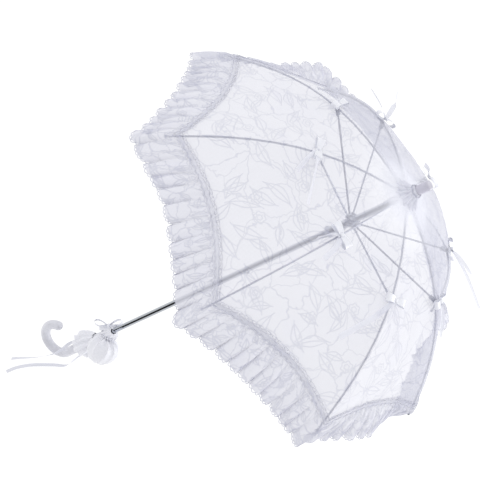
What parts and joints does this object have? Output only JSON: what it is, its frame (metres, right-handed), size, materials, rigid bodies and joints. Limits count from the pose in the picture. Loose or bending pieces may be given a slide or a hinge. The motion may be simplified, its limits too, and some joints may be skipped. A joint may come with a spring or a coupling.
{
  "type": "lace parasol",
  "caption": "Small open parasol: lace canopy with a ruffled rim on a wire rib frame, steel shaft with a runner, and a crook handle trimmed with satin.",
  "frame": {"origin": "on the shaft's axis at the middle of the grip", "axes": "+Z along the shaft towards the ferrule, +X away from the crook's hook, towards rib 1"},
  "size_m": [0.5426, 0.5426, 0.8416],
  "materials": {
    "steel": "bright plated",
    "spring_steel": "drawn wire, dull plated",
    "white_plastic": "pearly gloss",
    "lace": "sheer net with leaves and flowers",
    "satin": "satin"
  },
  "bodies": {
    "handle_and_shaft": {"shaft": "steel", "top_notch": "steel", "notch_wire": "spring_steel", "ferrule_cap": "white_plastic", "canopy_rosette": "lace", "crook_handle": "white_plastic", "handle_collar": "steel", "handle_puff": "satin", "handle_cuff": "satin", "handle_bow": "satin", "ribbon_tail_1": "satin", "ribbon_tail_2": "satin"},
    "runner": {"runner": "steel"},
    "top_latch": {"top_latch": "spring_steel"},
    "lower_latch": {"lower_latch": "spring_steel"},
    "rib_1": {"rib_1": "spring_steel", "rivet_1": "steel", "gore_1": "lace", "ruffle_1": "lace"},
    "stretcher_1": {"stretcher_1": "steel"},
    "rib_2": {"rib_2": "spring_steel", "rivet_2": "steel", "gore_2": "lace", "ruffle_2": "lace"},
    "stretcher_2": {"stretcher_2": "steel"},
    "rib_3": {"rib_3": "spring_steel", "rivet_3": "steel", "gore_3": "lace", "ruffle_3": "lace"},
    "stretcher_3": {"stretcher_3": "steel"},
    "rib_4": {"rib_4": "spring_steel", "rivet_4": "steel", "gore_4": "lace", "ruffle_4": "lace"},
    "stretcher_4": {"stretcher_4": "steel"},
    "rib_5": {"rib_5": "spring_steel", "rivet_5": "steel", "gore_5": "lace", "ruffle_5": "lace"},
    "stretcher_5": {"stretcher_5": "steel"},
    "rib_6": {"rib_6": "spring_steel", "rivet_6": "steel", "gore_6": "lace", "ruffle_6": "lace"},
    "stretcher_6": {"stretcher_6": "steel"},
    "rib_7": {"rib_7": "spring_steel", "rivet_7": "steel", "gore_7": "lace", "ruffle_7": "lace"},
    "stretcher_7": {"stretcher_7": "steel"},
    "rib_8": {"rib_8": "spring_steel", "rivet_8": "steel", "gore_8": "lace", "ruffle_8": "lace"},
    "stretcher_8": {"stretcher_8": "steel"}
  },
  "joints": [
    {"name": "runner_slide", "type": "slide", "parent": "handle_and_shaft", "child": "runner", "axis": [0, 0, 1], "range_m": [-0.1559, 0], "deforming": ["top_latch", "lower_latch", "gore_1", "gore_2", "gore_3", "gore_4", "gore_5", "gore_6", "gore_7", "gore_8", "ruffle_1", "ruffle_2", "ruffle_3", "ruffle_4", "ruffle_5", "ruffle_6", "ruffle_7", "ruffle_8"]},
    {"name": "rib_1_hinge", "type": "hinge", "parent": "handle_and_shaft", "child": "rib_1", "pos_m": [0.008, 0, 0.605], "axis": [0, 1, 0], "range_deg": [0, 57]},
    {"name": "stretcher_1_hinge", "type": "hinge", "parent": "rib_1", "child": "stretcher_1", "pos_m": [0.12438, 0, 0.57778], "axis": [0, 1, 0], "range_deg": [-105.5, 0]},
    {"name": "rib_2_hinge", "type": "hinge", "parent": "handle_and_shaft", "child": "rib_2", "pos_m": [0.00566, 0.00566, 0.605], "axis": [-0.7071, 0.7071, 0], "range_deg": [0, 57]},
    {"name": "stretcher_2_hinge", "type": "hinge", "parent": "rib_2", "child": "stretcher_2", "pos_m": [0.08795, 0.08795, 0.57778], "axis": [-0.7071, 0.7071, 0], "range_deg": [-105.5, 0]},
    {"name": "rib_3_hinge", "type": "hinge", "parent": "handle_and_shaft", "child": "rib_3", "pos_m": [0, 0.008, 0.605], "axis": [-1, 0, 0], "range_deg": [0, 57]},
    {"name": "stretcher_3_hinge", "type": "hinge", "parent": "rib_3", "child": "stretcher_3", "pos_m": [0, 0.12438, 0.57778], "axis": [-1, 0, 0], "range_deg": [-105.5, 0]},
    {"name": "rib_4_hinge", "type": "hinge", "parent": "handle_and_shaft", "child": "rib_4", "pos_m": [-0.00566, 0.00566, 0.605], "axis": [-0.7071, -0.7071, 0], "range_deg": [0, 57]},
    {"name": "stretcher_4_hinge", "type": "hinge", "parent": "rib_4", "child": "stretcher_4", "pos_m": [-0.08795, 0.08795, 0.57778], "axis": [-0.7071, -0.7071, 0], "range_deg": [-105.5, 0]},
    {"name": "rib_5_hinge", "type": "hinge", "parent": "handle_and_shaft", "child": "rib_5", "pos_m": [-0.008, 0, 0.605], "axis": [0, -1, 0], "range_deg": [0, 57]},
    {"name": "stretcher_5_hinge", "type": "hinge", "parent": "rib_5", "child": "stretcher_5", "pos_m": [-0.12438, 0, 0.57778], "axis": [0, -1, 0], "range_deg": [-105.5, 0]},
    {"name": "rib_6_hinge", "type": "hinge", "parent": "handle_and_shaft", "child": "rib_6", "pos_m": [-0.00566, -0.00566, 0.605], "axis": [0.7071, -0.7071, 0], "range_deg": [0, 57]},
    {"name": "stretcher_6_hinge", "type": "hinge", "parent": "rib_6", "child": "stretcher_6", "pos_m": [-0.08795, -0.08795, 0.57778], "axis": [0.7071, -0.7071, 0], "range_deg": [-105.5, 0]},
    {"name": "rib_7_hinge", "type": "hinge", "parent": "handle_and_shaft", "child": "rib_7", "pos_m": [0, -0.008, 0.605], "axis": [1, 0, 0], "range_deg": [0, 57]},
    {"name": "stretcher_7_hinge", "type": "hinge", "parent": "rib_7", "child": "stretcher_7", "pos_m": [0, -0.12438, 0.57778], "axis": [1, 0, 0], "range_deg": [-105.5, 0]},
    {"name": "rib_8_hinge", "type": "hinge", "parent": "handle_and_shaft", "child": "rib_8", "pos_m": [0.00566, -0.00566, 0.605], "axis": [0.7071, 0.7071, 0], "range_deg": [0, 57]},
    {"name": "stretcher_8_hinge", "type": "hinge", "parent": "rib_8", "child": "stretcher_8", "pos_m": [0.08795, -0.08795, 0.57778], "axis": [0.7071, 0.7071, 0], "range_deg": [-105.5, 0]},
    {"name": "top_latch_press", "type": "slide", "parent": "handle_and_shaft", "child": "top_latch", "axis": [0.9239, 0.3827, 0], "range_m": [-0.0026, 0], "stiffness_N_per_m": 800},
    {"name": "lower_latch_press", "type": "slide", "parent": "handle_and_shaft", "child": "lower_latch", "axis": [0.9239, 0.3827, 0], "range_m": [-0.0026, 0], "stiffness_N_per_m": 800}
  ],
  "couplings": [
    {"joint": "rib_1_hinge", "follows": "runner_slide", "rad_per_m": -6.3806},
    {"joint": "stretcher_1_hinge", "follows": "runner_slide", "rad_per_m": 11.811},
    {"joint": "rib_2_hinge", "follows": "runner_slide", "rad_per_m": -6.3806},
    {"joint": "stretcher_2_hinge", "follows": "runner_slide", "rad_per_m": 11.811},
    {"joint": "rib_3_hinge", "follows": "runner_slide", "rad_per_m": -6.3806},
    {"joint": "stretcher_3_hinge", "follows": "runner_slide", "rad_per_m": 11.811},
    {"joint": "rib_4_hinge", "follows": "runner_slide", "rad_per_m": -6.3806},
    {"joint": "stretcher_4_hinge", "follows": "runner_slide", "rad_per_m": 11.811},
    {"joint": "rib_5_hinge", "follows": "runner_slide", "rad_per_m": -6.3806},
    {"joint": "stretcher_5_hinge", "follows": "runner_slide", "rad_per_m": 11.811},
    {"joint": "rib_6_hinge", "follows": "runner_slide", "rad_per_m": -6.3806},
    {"joint": "stretcher_6_hinge", "follows": "runner_slide", "rad_per_m": 11.811},
    {"joint": "rib_7_hinge", "follows": "runner_slide", "rad_per_m": -6.3806},
    {"joint": "stretcher_7_hinge", "follows": "runner_slide", "rad_per_m": 11.811},
    {"joint": "rib_8_hinge", "follows": "runner_slide", "rad_per_m": -6.3806},
    {"joint": "stretcher_8_hinge", "follows": "runner_slide", "rad_per_m": 11.811}
  ]
}
